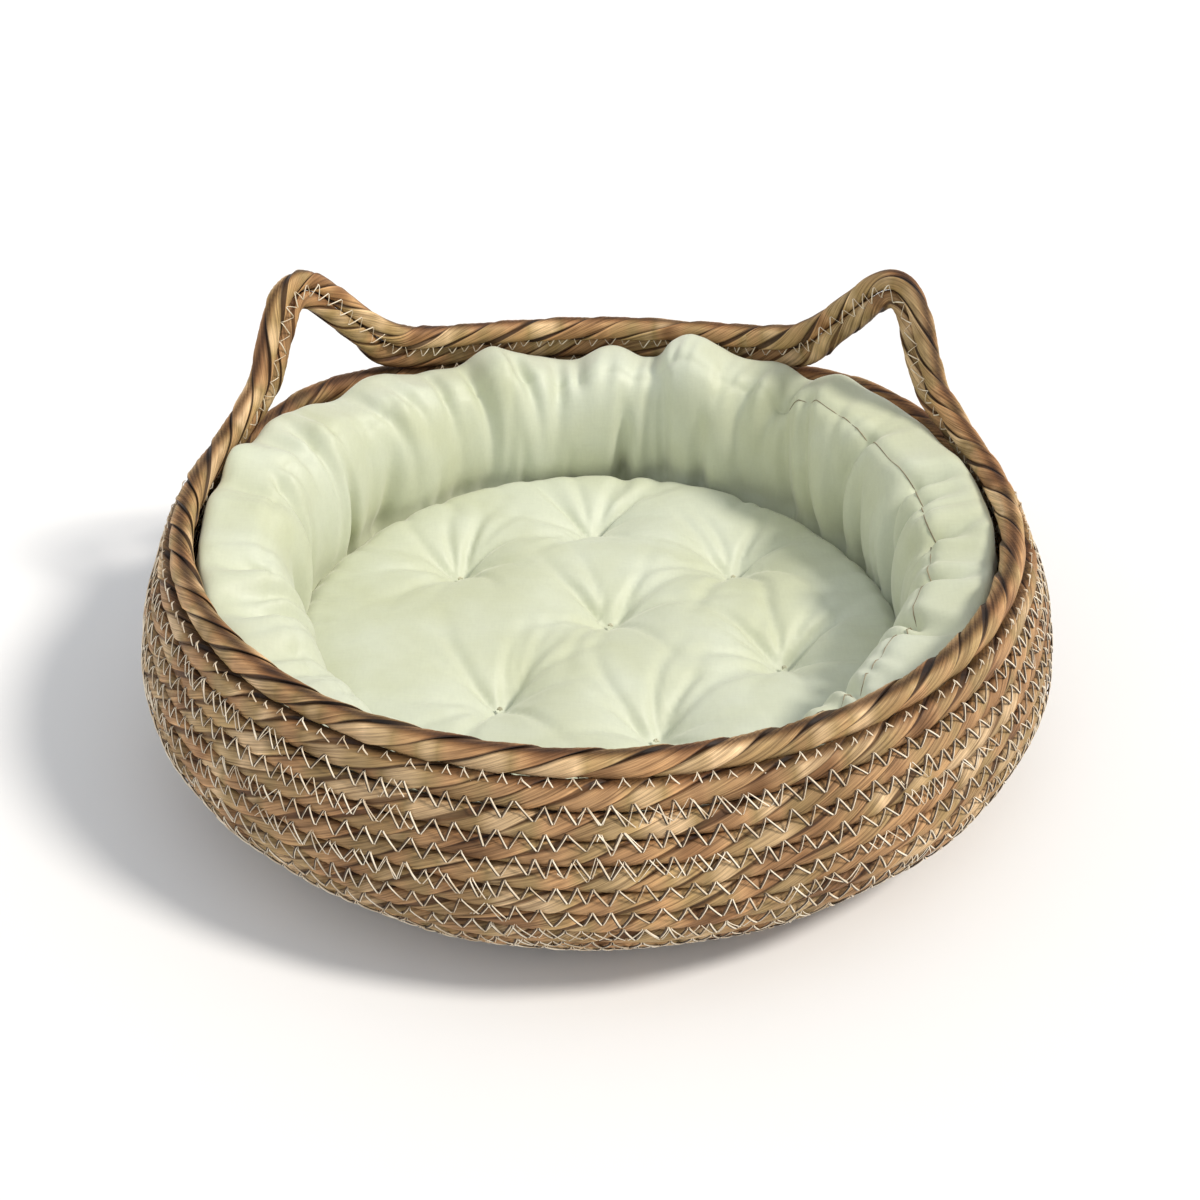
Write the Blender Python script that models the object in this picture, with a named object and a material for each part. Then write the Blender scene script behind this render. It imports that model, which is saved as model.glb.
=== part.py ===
"""A round rope-coil pet bed with two cat ears on its rim and a tufted cushion inside.

The wall is one long rope, coiled and sewn turn to turn. Here each turn is a solid of its own.
Metres, +Z up, front at -Y. A bearing is an angle round the bed from the back (+Y), positive towards +X.
"""

import bpy
from math import cos, degrees, exp, hypot, pi, radians, sin

# Basket
MAX_R = 0.225  # widest outer radius
BASE_R = 0.146  # edge of the flat bottom, where the wall starts
BELLY_Z = 0.055  # height of the widest turn
RIM_R = 0.200  # circle of the rim rope's centre
RIM_Z = 0.112  # rim rope's centre, at the front
PITCH = 0.0115  # from turn to turn
ROPE_R = 0.0058  # half the wall's thickness
ROPE_FLAT = 0.0028  # half the width of the flats where one turn rests on the next
GAP = 0.0003
PLAIN_TURNS = 13  # below the two that leave the wall for the ears
BACK_RISE = 0.014  # how much higher the rim is at the back
EAR_BEARING = 48.0  # the wall swells upward round here
EAR_SWELL = 0.014
EAR_SPREAD = 20.0
EAR_PITCH = 0.0098  # the ears' two ropes are drawn tighter
RING_STEPS = 32

# The rim rope's centre line over the right ear, foot to foot: bearing in degrees, height
EAR_FOOT_BACK, EAR_FOOT_FRONT = 26.0, 73.0
EAR_ARCH = (
    (33.0, 0.1345), (36.8, 0.1430), (40.4, 0.1545), (43.9, 0.1665), (47.0, 0.1772), (49.9, 0.1842),
    (53.0, 0.1868), (56.1, 0.1818), (58.2, 0.1715), (59.9, 0.1595), (61.8, 0.1475), (64.4, 0.1370),
)

# Cushion
PAD_R = 0.1490
PAD_BOTTOM_Z = 0.0125
PAD_EDGE_Z = 0.0530
PAD_CROWN_Z = 0.0580
COVER = 0.0010
TUFTS = (  # one in the middle and six round it, sewn by eye
    (0.007, 0.011), (0.094, -0.025), (0.074, 0.063), (-0.002, 0.104),
    (-0.074, 0.061), (-0.047, -0.062), (0.028, -0.087),
)
TUFT_DEPTH = 0.017
TUFT_WIDTH = 0.018
TIE_R = 0.0015
BOLSTER_R = 0.1715  # circle of the bolster's middle
BOLSTER_HALF_WIDTH = 0.0205
BOLSTER_BOTTOM_Z = 0.022
BOLSTER_TOP_Z = 0.110  # at the sides; higher behind, lower in front
BOLSTER_TILT = 0.014
TOP_SEAM, BOTTOM_SEAM = radians(112), radians(-100)  # where the bolster's two panels meet, round its section
CUSHION_STEPS = 32


# ---------------------------------------------------------------- materials and meshes


def material(name, colour, roughness):
    made = bpy.data.materials.new(name)
    made.use_nodes = True
    shader = made.node_tree.nodes["Principled BSDF"]
    shader.inputs["Base Color"].default_value = (*colour, 1.0)
    shader.inputs["Roughness"].default_value = roughness
    shader.inputs["Metallic"].default_value = 0.0
    return made


def add(name, points, faces, finish, parent, smooth_angle=50):
    mesh = bpy.data.meshes.new(name)
    mesh.from_pydata(points, [], faces)
    mesh.validate()
    mesh.shade_smooth()
    mesh.set_sharp_from_angle(angle=radians(smooth_angle))
    mesh.materials.append(material(name, *finish))
    made = bpy.data.objects.new(name, mesh)
    made.parent = parent
    bpy.context.scene.collection.objects.link(made)
    return made


def tube(sections, closed):
    """Faces of a tube through equal sections, each a ring of points seen anticlockwise from its far side."""
    size, count = len(sections[0]), len(sections)
    points = [point for section in sections for point in section]
    faces = []
    for i in range(count if closed else count - 1):
        a, b = i * size, (i + 1) % count * size
        for k in range(size):
            m = (k + 1) % size
            faces.append((a + k, a + m, b + m, b + k))
    if not closed:
        faces.append(tuple(range(size))[::-1])
        faces.append(tuple((count - 1) * size + k for k in range(size)))
    return points, faces


# ---------------------------------------------------------------- basket


def turned_profile(steps=400):
    """The wall's outer line, from the bottom to the rim rope: distance along it, radius, height, normal."""
    line = []
    for i in range(steps + 1):
        t = 0.5 * pi * i / steps
        line.append((BASE_R + (MAX_R - BASE_R) * sin(t), BELLY_Z * (1 - cos(t))))
    lean = MAX_R - RIM_R - ROPE_R
    for i in range(1, steps + 1):
        t = i / steps
        line.append((MAX_R - lean * t**1.8, BELLY_Z + (RIM_Z - BELLY_Z) * t))
    rows, along = [], 0.0
    for i, (r, z) in enumerate(line):
        before, after = line[max(i - 1, 0)], line[min(i + 1, len(line) - 1)]
        if i:
            along += hypot(r - line[i - 1][0], z - line[i - 1][1])
        dr, dz = after[0] - before[0], after[1] - before[1]
        size = hypot(dr, dz)
        rows.append((along, r, z, dz / size, -dr / size))
    return rows


PROFILE = turned_profile()
WALL_LENGTH = PROFILE[-1][0]


def rise(bearing):
    """How far the rim lies above its height at the front."""
    from_back = abs((bearing + 180) % 360 - 180)
    off = (from_back - EAR_BEARING) / EAR_SPREAD
    return BACK_RISE * (1 + cos(radians(bearing))) / 2 + EAR_SWELL * exp(-off * off)


def wall_line(along):
    """Radius, height and outward normal at a distance along the wall's outer line."""
    i = 0
    while i < len(PROFILE) - 2 and PROFILE[i + 1][0] < along:
        i += 1
    low, high = PROFILE[i], PROFILE[i + 1]
    t = (along - low[0]) / (high[0] - low[0])
    return [a + (b - a) * t for a, b in zip(low[1:], high[1:])]


def on_wall(bearing, along, inward):
    """A point at a distance along the wall's outer line, and so far in from it."""
    r, z, nr, nz = wall_line(along)
    r -= nr * inward
    z += rise(bearing) * (along / WALL_LENGTH) ** 1.2 - nz * inward
    angle = radians(bearing)
    return r * sin(angle), r * cos(angle), z


def wall_turn(number, parent):
    """One turn of the coil: six-sided, flat against the turns below and above it."""
    low, high = (number - 1) * PITCH + GAP / 2, number * PITCH - GAP / 2
    middle = (low + high) / 2
    near, far = ROPE_R - ROPE_FLAT, ROPE_R + ROPE_FLAT
    section = ((low, near), (middle, 0.0), (high, near), (high, far), (middle, 2 * ROPE_R), (low, far))
    rings = []
    for step in range(RING_STEPS):
        bearing = -180 + 360 * step / RING_STEPS
        rings.append([on_wall(bearing, along, inward) for along, inward in section])
    add(f"wall_course_{number:02d}", *tube(rings, closed=True), ROPE_FINISH, parent)


def blended(a, b, c, d, t):
    """The Catmull-Rom value between b and c."""
    square = (2 * a - 5 * b + 4 * c - d) * t**2
    cube = (3 * b - a - 3 * c + d) * t**3
    return 0.5 * (2 * b + (c - a) * t + square + cube)


def smooth_path(points, per_span=6):
    """A Catmull-Rom curve through the points."""
    path = []
    for i in range(len(points) - 1):
        p0, p1 = points[max(i - 1, 0)], points[i]
        p2, p3 = points[i + 1], points[min(i + 2, len(points) - 1)]
        for step in range(per_span):
            t = step / per_span
            path.append(tuple(blended(*values, t) for values in zip(p0, p1, p2, p3)))
    return [*path, points[-1]]


def rim_height(bearing):
    return RIM_Z + rise(bearing)


def ear_line():
    """The rim rope over the right ear, as (distance round the rim, height, radius) points."""
    feet = [(b, rim_height(b)) for b in (EAR_FOOT_BACK - 4, EAR_FOOT_BACK)]
    ends = [(b, rim_height(b)) for b in (EAR_FOOT_FRONT, EAR_FOOT_FRONT + 4)]
    path = smooth_path([*feet, *EAR_ARCH, *ends])
    return [(radians(b) * RIM_R, z, RIM_R) for b, z in path if EAR_FOOT_BACK <= b <= EAR_FOOT_FRONT]


def plain_line(first, last, steps):
    bearings = [first + (last - first) * i / steps for i in range(steps + 1)]
    return [(radians(b) * RIM_R, rim_height(b), RIM_R) for b in bearings]


def spaced(line, count):
    """The same line with its points an equal distance apart."""
    lengths = [0.0]
    for a, b in zip(line, line[1:]):
        lengths.append(lengths[-1] + hypot(b[0] - a[0], b[1] - a[1]))
    made, i = [], 0
    for k in range(count + 1):
        want = lengths[-1] * k / count
        while i < len(line) - 2 and lengths[i + 1] < want:
            i += 1
        t = (want - lengths[i]) / (lengths[i + 1] - lengths[i])
        made.append(tuple(a + (b - a) * t for a, b in zip(line[i], line[i + 1])))
    return made


def normals(line):
    """Unit vectors square to the line in the rim's surface. Its ends take the plain rim's slope."""
    made = []
    for i, (x, _, _) in enumerate(line):
        if 0 < i < len(line) - 1:
            dx, dz = (line[i + 1][axis] - line[i - 1][axis] for axis in (0, 1))
        else:
            bearing = degrees(x / RIM_R)
            dx, dz = radians(2) * RIM_R, rim_height(bearing + 1) - rim_height(bearing - 1)
        size = hypot(dx, dz)
        made.append((-dz / size, dx / size))
    return made


def ear_share(around, height):
    """0 where the rim rope lies on the wall, 1 where it has left it for the ear."""
    lift = min(max((height - rim_height(degrees(around / RIM_R))) / 0.015, 0), 1)
    return lift * lift * (3 - 2 * lift)


def below(line):
    """The rope sewn under this one: further down and out along the wall, close below it along the ear."""
    r, _, nr, _ = wall_line(WALL_LENGTH - PITCH)
    wall_r = r - ROPE_R * nr
    made = []
    for (x, z, _), n in zip(line, normals(line)):
        share = ear_share(x, z)
        on_plain_wall = PITCH * (1 + 1.2 * rise(degrees(x / RIM_R)) / WALL_LENGTH)
        apart = on_plain_wall + (EAR_PITCH + GAP - on_plain_wall) * share
        made.append((x - n[0] * apart, z - n[1] * apart, wall_r + (RIM_R - wall_r) * share))
    return made


def rope_along(name, line, parent, mirrored=False):
    """A six-sided rope along the rim, its ends cut a little short."""
    side = -1 if mirrored else 1
    rings = []
    for (x, z, r), n in zip(trimmed(line), normals(line)):
        half = (PITCH + (EAR_PITCH - PITCH) * ear_share(x, z)) / 2 - GAP / 2
        outline = (
            (-half, ROPE_FLAT), (-half, -ROPE_FLAT), (0, -ROPE_R),
            (half, -ROPE_FLAT), (half, ROPE_FLAT), (0, ROPE_R),
        )
        ring = []
        for up, out in outline:
            angle = (x + n[0] * up) / RIM_R
            ring.append((side * (r + out) * sin(angle), (r + out) * cos(angle), z + n[1] * up))
        rings.append(ring if mirrored else ring[::-1])
    add(name, *tube(rings, closed=False), ROPE_FINISH, parent)


def trimmed(line):
    """The line with each end moved in by the gap."""
    line = list(line)
    for end, inner in ((0, 1), (-1, -2)):
        share = GAP / hypot(line[inner][0] - line[end][0], line[inner][1] - line[end][1])
        line[end] = tuple(a + (b - a) * share for a, b in zip(line[end], line[inner]))
    return line


def rim_and_ears(parent):
    """The two uppermost turns, each cut where it leaves the wall for an ear."""
    ear = spaced(ear_line(), 26)
    front = plain_line(EAR_FOOT_FRONT, 360 - EAR_FOOT_FRONT, 22)
    back = plain_line(-EAR_FOOT_BACK, EAR_FOOT_BACK, 8)
    for place, line, mirrored in (
        ("front", front, False), ("back", back, False), ("ear_right", ear, False), ("ear_left", ear, True),
    ):
        rope_along(f"rim_rope_{place}", line, parent, mirrored)
        rope_along(f"under_rim_rope_{place}", below(line), parent, mirrored)


def base_coil(parent):
    """The flat bottom: the coil's first turns, as one disc with its lower edge eased."""
    edge = BASE_R - GAP / 2
    ease = ROPE_R - ROPE_FLAT
    outline = ((edge - ease, 0.0), (edge, ease), (edge, 2 * ROPE_R - ease), (edge - ease, 2 * ROPE_R))
    rings = []
    for step in range(RING_STEPS):
        angle = 2 * pi * step / RING_STEPS
        rings.append([(r * sin(angle), r * cos(angle), z) for r, z in outline])
    points = [point for ring in rings for point in ring]
    size = len(outline)
    faces = [tuple(i * size for i in range(RING_STEPS))]
    faces.append(tuple(i * size + size - 1 for i in range(RING_STEPS))[::-1])
    for i in range(RING_STEPS):
        a, b = i * size, (i + 1) % RING_STEPS * size
        faces += [(a + k, a + k + 1, b + k + 1, b + k) for k in range(size - 1)]
    add("base_coil", points, faces, ROPE_FINISH, parent)


# ---------------------------------------------------------------- cushion


def pad_top(x, y):
    """The pad's upper surface: a low dome, drawn down at each tuft."""
    share = hypot(x, y) / PAD_R
    z = PAD_EDGE_Z + (PAD_CROWN_Z - PAD_EDGE_Z) * (1 - share * share)
    for tx, ty in TUFTS:
        d = hypot(x - tx, y - ty) / TUFT_WIDTH
        z -= TUFT_DEPTH * exp(-d * d)
    return z


def disc_points(radius, rings, height):
    points = [(0.0, 0.0, height(0.0, 0.0))]
    for i in range(1, rings + 1):
        for k in range(CUSHION_STEPS):
            angle = 2 * pi * k / CUSHION_STEPS
            x, y = radius * i / rings * sin(angle), radius * i / rings * cos(angle)
            points.append((x, y, height(x, y)))
    return points


def disc_faces(rings, start, upward):
    faces = []
    for k in range(CUSHION_STEPS):
        m = (k + 1) % CUSHION_STEPS
        faces.append((start, start + 1 + m, start + 1 + k))
        for i in range(rings - 1):
            a, b = start + 1 + i * CUSHION_STEPS, start + 1 + (i + 1) * CUSHION_STEPS
            faces += [(a + k, a + m, b + m), (a + k, b + m, b + k)]
    return faces if upward else [face[::-1] for face in faces]


def slab(name, radius, rings, low, high, parent):
    """A round slab between two height functions."""
    upper, lower = disc_points(radius, rings, high), disc_points(radius, rings, low)
    offset = len(upper)
    faces = disc_faces(rings, 0, True) + disc_faces(rings, offset, False)
    edge = 1 + (rings - 1) * CUSHION_STEPS
    for k in range(CUSHION_STEPS):
        m = (k + 1) % CUSHION_STEPS
        faces.append((edge + k, edge + m, offset + edge + m, offset + edge + k))
    return add(name, upper + lower, faces, FABRIC_FINISH, parent)


def tie_hole_cutter(parent):
    """Seven rods that open the ties' holes; not part of the bed."""
    points, faces = [], []
    for x, y in TUFTS:
        start = len(points)
        rod, sides = rod_mesh(x, y, 0.0, 0.1, TIE_R + GAP)
        points += rod
        faces += [tuple(start + i for i in face) for face in sides]
    cutter = add("tie_hole_cutter", points, faces, FABRIC_FINISH, parent)
    cutter.hide_render = True
    cutter.display_type = "WIRE"
    return cutter


def rod_mesh(x, y, low, high, radius, sides=8):
    rings = []
    for z in (low, high):
        turn = [2 * pi * k / sides for k in range(sides)]
        rings.append([(x + radius * cos(a), y + radius * sin(a), z) for a in turn])
    return tube(rings, closed=False)


def pad(parent):
    rings = 6
    floor = PAD_BOTTOM_Z + COVER + GAP
    slabs = (
        slab("pad_top_cover", PAD_R, rings, lambda x, y: pad_top(x, y) - COVER, pad_top, parent),
        slab("pad_fill", PAD_R, rings, lambda x, y: floor, lambda x, y: pad_top(x, y) - COVER - GAP, parent),
        slab("pad_bottom_cover", PAD_R, 2, lambda x, y: PAD_BOTTOM_Z, lambda x, y: floor - GAP, parent),
    )
    cutter = tie_hole_cutter(parent)
    for piece in slabs:
        cut = piece.modifiers.new("tie holes", "BOOLEAN")
        cut.object = cutter
        cut.operation = "DIFFERENCE"
    for number, (x, y) in enumerate(TUFTS, 1):
        rod = rod_mesh(x, y, PAD_BOTTOM_Z, pad_top(x, y) + 0.0008, TIE_R)
        add(f"tuft_tie_{number}", *rod, THREAD_FINISH, parent)


def bolster_point(bearing, turn, inset):
    """A point of the bolster's oval section; turn 0 faces outward and a quarter turn is its crest."""
    angle = radians(bearing)
    top = BOLSTER_TOP_Z + BOLSTER_TILT * cos(angle)
    half = (top - BOLSTER_BOTTOM_Z) / 2
    r = BOLSTER_R + (BOLSTER_HALF_WIDTH - inset) * rounded(cos(turn))
    z = BOLSTER_BOTTOM_Z + half + (half - inset) * rounded(sin(turn))
    return r * sin(angle), r * cos(angle), z


def rounded(value):
    """Squares a circle off a little, as a full tube of cloth sits between a wall and a pad."""
    return abs(value) ** 0.85 * (1 if value > 0 else -1)


def bolster_ring(name, sections, parent):
    """A ring round the bed with this list of (turn, inset) points as its section."""
    rings = []
    for step in range(CUSHION_STEPS):
        bearing = 360 * step / CUSHION_STEPS
        rings.append([bolster_point(bearing, turn, inset) for turn, inset in sections])
    add(name, *tube(rings, closed=True), FABRIC_FINISH, parent)


def bolster(parent):
    """The fill and its two panels, whose facets line up."""
    seam = 0.012  # half the gap between the panels, in radians round the section
    inner = panel_turns(TOP_SEAM, 2 * pi + BOTTOM_SEAM)
    outer = panel_turns(BOTTOM_SEAM, TOP_SEAM)
    bolster_ring("bolster_fill", [(t, COVER + GAP) for t in outer[:-1] + inner[:-1]], parent)
    for name, turns in (("bolster_inner_cover", inner), ("bolster_outer_cover", outer)):
        cut = [turns[0] + seam, *turns[1:-1], turns[-1] - seam]
        outside, inside = [(t, 0.0) for t in cut], [(t, COVER) for t in cut]
        bolster_ring(name, [*outside, *inside[::-1]], parent)


def panel_turns(first, last, steps=6):
    return [first + (last - first) * k / steps for k in range(steps + 1)]


# ---------------------------------------------------------------- the bed

ROPE_FINISH = ((0.43, 0.28, 0.15), 0.75)
FABRIC_FINISH = ((0.86, 0.86, 0.70), 0.60)
THREAD_FINISH = ((0.80, 0.79, 0.66), 0.70)


def empty(name):
    made = bpy.data.objects.new(name, None)
    bpy.context.scene.collection.objects.link(made)
    return made


def main():
    for old in list(bpy.data.objects):
        bpy.data.objects.remove(old, do_unlink=True)
    basket, cushion = empty("basket_frame"), empty("cushion_frame")
    base_coil(basket)
    for number in range(1, PLAIN_TURNS + 1):
        wall_turn(number, basket)
    rim_and_ears(basket)
    pad(cushion)
    bolster(cushion)


main()
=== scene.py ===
"""Looks of a round pet bed: a basket of coiled three-strand rope with two open ears, and its cushion."""

from math import cos, pi, radians, sin

import bpy
import numpy as np
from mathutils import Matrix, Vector


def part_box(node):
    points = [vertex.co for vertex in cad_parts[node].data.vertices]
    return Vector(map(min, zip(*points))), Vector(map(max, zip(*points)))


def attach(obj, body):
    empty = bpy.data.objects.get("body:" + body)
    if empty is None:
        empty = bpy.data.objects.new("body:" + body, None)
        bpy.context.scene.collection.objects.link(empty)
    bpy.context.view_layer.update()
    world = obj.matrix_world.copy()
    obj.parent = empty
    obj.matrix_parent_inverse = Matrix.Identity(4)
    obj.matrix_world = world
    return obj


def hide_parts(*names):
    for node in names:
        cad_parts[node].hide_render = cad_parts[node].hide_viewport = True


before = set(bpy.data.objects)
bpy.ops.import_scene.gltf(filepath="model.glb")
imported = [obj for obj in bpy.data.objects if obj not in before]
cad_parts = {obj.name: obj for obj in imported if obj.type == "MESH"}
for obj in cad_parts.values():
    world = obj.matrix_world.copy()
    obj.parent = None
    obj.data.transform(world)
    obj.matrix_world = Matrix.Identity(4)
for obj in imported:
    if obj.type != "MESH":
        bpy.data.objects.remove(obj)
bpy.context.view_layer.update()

# ---------------------------------------------------------------- dimensions, in metres

MAX_R = 0.2250  # widest circle of the wall, at its belly
BASE_R = 0.1460  # flat bottom
BELLY_Z = 0.055
RIM_R = 0.2000  # circle of the rim rope's middle
RIM_Z = 0.1120  # height of the rim rope's middle at the front
PITCH = 0.0115  # one turn of the coil above the next
ROPE_R = 0.0058  # half the rope's thickness
ROPE_GAP = 0.0003  # between the two ropes of an ear
ROPE_OVERLAP = 0.0004  # how far each turn presses into the next
COIL_START_R = 0.006  # where the coil begins, in the middle of the bottom
COURSES = 13  # turns of the wall
BACK_RISE = 0.014  # how much higher the rim is at the back
EAR_BEARING = 48.0  # an ear's middle, in degrees from straight back
EAR_SWELL = 0.014  # how far the wall rises towards an ear
EAR_SPREAD = 20.0
EAR_PITCH = 0.0098  # the ears' two ropes are drawn tighter
EAR_FOOT_BACK, EAR_FOOT_FRONT = 26.0, 73.0  # bearings where the ropes leave the wall
# The rim rope's middle over an ear: bearing and height
EAR_ARCH = (
    (33.0, 0.1345), (36.8, 0.1430), (40.4, 0.1545), (43.9, 0.1665), (47.0, 0.1772), (49.9, 0.1842),
    (53.0, 0.1868), (56.1, 0.1818), (58.2, 0.1715), (59.9, 0.1595), (61.8, 0.1475), (64.4, 0.1370),
)

PAD_R = 0.1490
PAD_BOTTOM_Z = 0.0125
PAD_EDGE_Z = 0.0530
PAD_CROWN_Z = 0.0580
PAD_TUCK = 0.007  # how far the pad's edge goes under the bolster
PAD_SPACING = 0.0030
TUFT_COUNT = 7
KNOT_LENGTH, KNOT_WIDTH, KNOT_THREAD = 0.0012, 0.0005, 0.00030
BOLSTER_R = 0.1720
BOLSTER_HALF_WIDTH = 0.0210
BOLSTER_BOTTOM_Z = 0.018
BOLSTER_TOP_Z = 0.110
BOLSTER_TILT = 0.014

# The twisted rope: where each strand's section points lie across the strand, and how far out
STRANDS = 3
ACROSS = (0.0, 0.04, 0.16, 0.32, 0.50, 0.67, 0.82, 0.93, 0.98)
OUT = (0.79, 0.85, 0.90, 0.945, 0.98, 1.005, 1.025, 1.03, 0.98)
TWIST = 0.078  # length of one full turn of a strand
SQUARENESS = 2.5  # 2 would be an oval section
STEP = 0.0026  # from one section to the next
BASE_STEP = 0.0042
RIM_SECTIONS = int(2 * pi * 0.24 / STEP)  # more than the wall's, because the ears make the line longer
RIM_SLIM, UNDER_RIM_SLIM = 0.0002, -0.0006  # taken off the two ropes' half-heights where they lie on the wall


# ---------------------------------------------------------------- small tools


def smooth_noise(rng, length, wavelength):
    """A smooth random function of the distance round a closed loop, mostly between -1 and 1."""
    top = max(int(length / wavelength), 2)
    size = rng.normal(size=top) / np.sqrt(top / 2)
    phase = rng.uniform(0, 2 * pi, top)
    wave = 2 * pi * np.arange(1, top + 1) / length

    def value(along):
        along = np.asarray(along, float)
        return (size * np.cos(along[..., None] * wave + phase)).sum(-1)

    return value


def unit(vectors):
    return vectors / np.linalg.norm(vectors, axis=-1, keepdims=True)


def bell(value, width):
    """1 at zero, and almost nothing beyond twice the width."""
    return np.exp(-((value / width) ** 2))


def wrapped(angle):
    """The same angle between -pi and pi."""
    return (angle + pi) % (2 * pi) - pi


def new_mesh(name, points, faces, corner_data=None, sharp=None):
    """A mesh object from arrays. corner_data holds named vectors, one for each face corner."""
    points = np.asarray(points, np.float32)
    mesh = bpy.data.meshes.new(name)
    mesh.vertices.add(len(points))
    mesh.vertices.foreach_set("co", points.ravel())
    faces = [np.asarray(f, np.int32) for f in (faces if isinstance(faces, list) else [faces])]
    corners = np.concatenate([f.ravel() for f in faces])
    counts = np.concatenate([np.full(len(f), f.shape[1], np.int32) for f in faces])
    mesh.loops.add(len(corners))
    mesh.loops.foreach_set("vertex_index", corners)
    mesh.polygons.add(len(counts))
    mesh.polygons.foreach_set("loop_start", np.concatenate([[0], np.cumsum(counts)[:-1]]).astype(np.int32))
    mesh.polygons.foreach_set("loop_total", counts)
    mesh.polygons.foreach_set("use_smooth", np.ones(len(counts), bool))
    mesh.update(calc_edges=True)
    mesh.validate()
    for key, values in (corner_data or {}).items():
        layer = mesh.attributes.new(key, "FLOAT_VECTOR", "CORNER")
        layer.data.foreach_set("vector", np.asarray(values, np.float32).ravel())
    if sharp:
        mesh.set_sharp_from_angle(angle=radians(sharp))
    made = bpy.data.objects.new(name, mesh)
    bpy.context.scene.collection.objects.link(made)
    return made


# ---------------------------------------------------------------- lines of the wall, the rim and the ears


def turned_profile(steps=600):
    """The wall's outer line from the bottom's edge to the rim: distance along it, radius, height, normal."""
    t = np.linspace(0, 0.5 * pi, steps)
    low = np.stack([BASE_R + (MAX_R - BASE_R) * np.sin(t), BELLY_Z * (1 - np.cos(t))], 1)
    t = np.linspace(0, 1, steps)[1:]
    high = np.stack([MAX_R - (MAX_R - RIM_R - ROPE_R) * t**1.8, BELLY_Z + (RIM_Z - BELLY_Z) * t], 1)
    line = np.concatenate([low, high])
    along = np.concatenate([[0], np.cumsum(np.linalg.norm(np.diff(line, axis=0), axis=1))])
    slope = unit(np.gradient(line, axis=0))
    return along, line[:, 0], line[:, 1], slope[:, 1], -slope[:, 0]


PROFILE = turned_profile()
WALL_LENGTH = PROFILE[0][-1]


def rise(bearing):
    """How far the rim lies above its height at the front. A bearing is in degrees from straight back."""
    from_back = abs((np.asarray(bearing, float) + 180) % 360 - 180)
    off = (from_back - EAR_BEARING) / EAR_SPREAD
    return BACK_RISE * (1 + np.cos(np.radians(bearing))) / 2 + EAR_SWELL * np.exp(-off * off)


def unevenness(bearing, along):
    """How far the hand-made wall stands out from its even line."""
    a = np.radians(bearing)
    broad = np.sin(5 * a + 1.3 + 38 * along)
    middling = 0.8 * np.sin(11 * a + 2.1 - 90 * along)
    narrow = 0.6 * np.sin(19 * a + 0.4 + 160 * along)
    return 0.0004 * (broad + middling + narrow)


def on_wall(bearing, along, inward):
    """Points at a distance along the wall's outer line, and so far in from it, with the outward normals."""
    r, z, nr, nz = (np.interp(along, PROFILE[0], column) for column in PROFILE[1:])
    inward = inward - unevenness(bearing, along)
    lift = rise(bearing) * np.clip(along / WALL_LENGTH, 0, None) ** 1.2
    beyond = np.clip(along - WALL_LENGTH, 0, None)
    a = np.radians(bearing)
    r = r - nr * inward
    z = z + lift - nz * inward + beyond
    points = np.stack([r * np.sin(a), r * np.cos(a), z], -1)
    normals = np.stack([nr * np.sin(a), nr * np.cos(a), nz + 0 * a], -1)
    return points, normals


def rim_height(bearing):
    return RIM_Z + rise(bearing)


def smooth_path(points, per_span=10):
    """A Catmull-Rom curve through the points."""
    points = np.asarray(points, float)
    padded = np.concatenate([points[:1], points, points[-1:]])
    made = []
    for p0, p1, p2, p3 in zip(padded, padded[1:], padded[2:], padded[3:]):
        bend, twist = 2 * p0 - 5 * p1 + 4 * p2 - p3, 3 * p1 - p0 - 3 * p2 + p3
        for t in np.arange(per_span) / per_span:
            made.append(0.5 * (2 * p1 + (p2 - p0) * t + bend * t**2 + twist * t**3))
    return np.array([*made, points[-1]])


def spaced_loop(path, count):
    """A closed path's points again, an equal distance apart."""
    closed = np.concatenate([path, path[:1]])
    lengths = np.concatenate([[0], np.cumsum(np.linalg.norm(np.diff(closed, axis=0), axis=1))])
    want = lengths[-1] * np.arange(count) / count
    return np.stack([np.interp(want, lengths, closed[:, k]) for k in range(closed.shape[1])], 1), lengths[-1]


def softened(values, passes):
    for _ in range(passes):
        values = 0.25 * np.roll(values, 1, 0) + 0.5 * values + 0.25 * np.roll(values, -1, 0)
    return values


def rim_line():
    """Bearing and height of the rim rope's middle all the way round, over both ears."""
    feet = [(b, rim_height(b)) for b in (EAR_FOOT_BACK - 4, EAR_FOOT_BACK)]
    ends = [(b, rim_height(b)) for b in (EAR_FOOT_FRONT, EAR_FOOT_FRONT + 4)]
    ear = smooth_path([*feet, *EAR_ARCH, *ends])
    ear = ear[(ear[:, 0] >= EAR_FOOT_BACK) & (ear[:, 0] <= EAR_FOOT_FRONT)]
    front = np.arange(EAR_FOOT_FRONT + 1, 360 - EAR_FOOT_FRONT, 1.0)
    back = np.arange(360 - EAR_FOOT_BACK + 1, 360 + EAR_FOOT_BACK, 1.0)
    left = np.stack([360 - ear[::-1, 0], ear[::-1, 1]], 1)
    plain = [np.stack([b, rim_height(b)], 1) for b in (front, back)]
    return np.concatenate([ear, plain[0], left, plain[1]])


def ear_share(bearing, height):
    """0 where the rim rope lies on the wall, 1 where it has left it for the ear."""
    lift = np.clip((height - rim_height(bearing)) / 0.015, 0, 1)
    return lift * lift * (3 - 2 * lift)


def flat_normals(x, z):
    """Unit vectors square to a closed line in the rim's surface, pointing up out of the basket."""
    turn = 2 * pi * RIM_R
    dx = (np.roll(x, -1) - np.roll(x, 1) + turn / 2) % turn - turn / 2
    dz = np.roll(z, -1) - np.roll(z, 1)
    size = np.hypot(dx, dz)
    return -dz / size, dx / size


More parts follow.
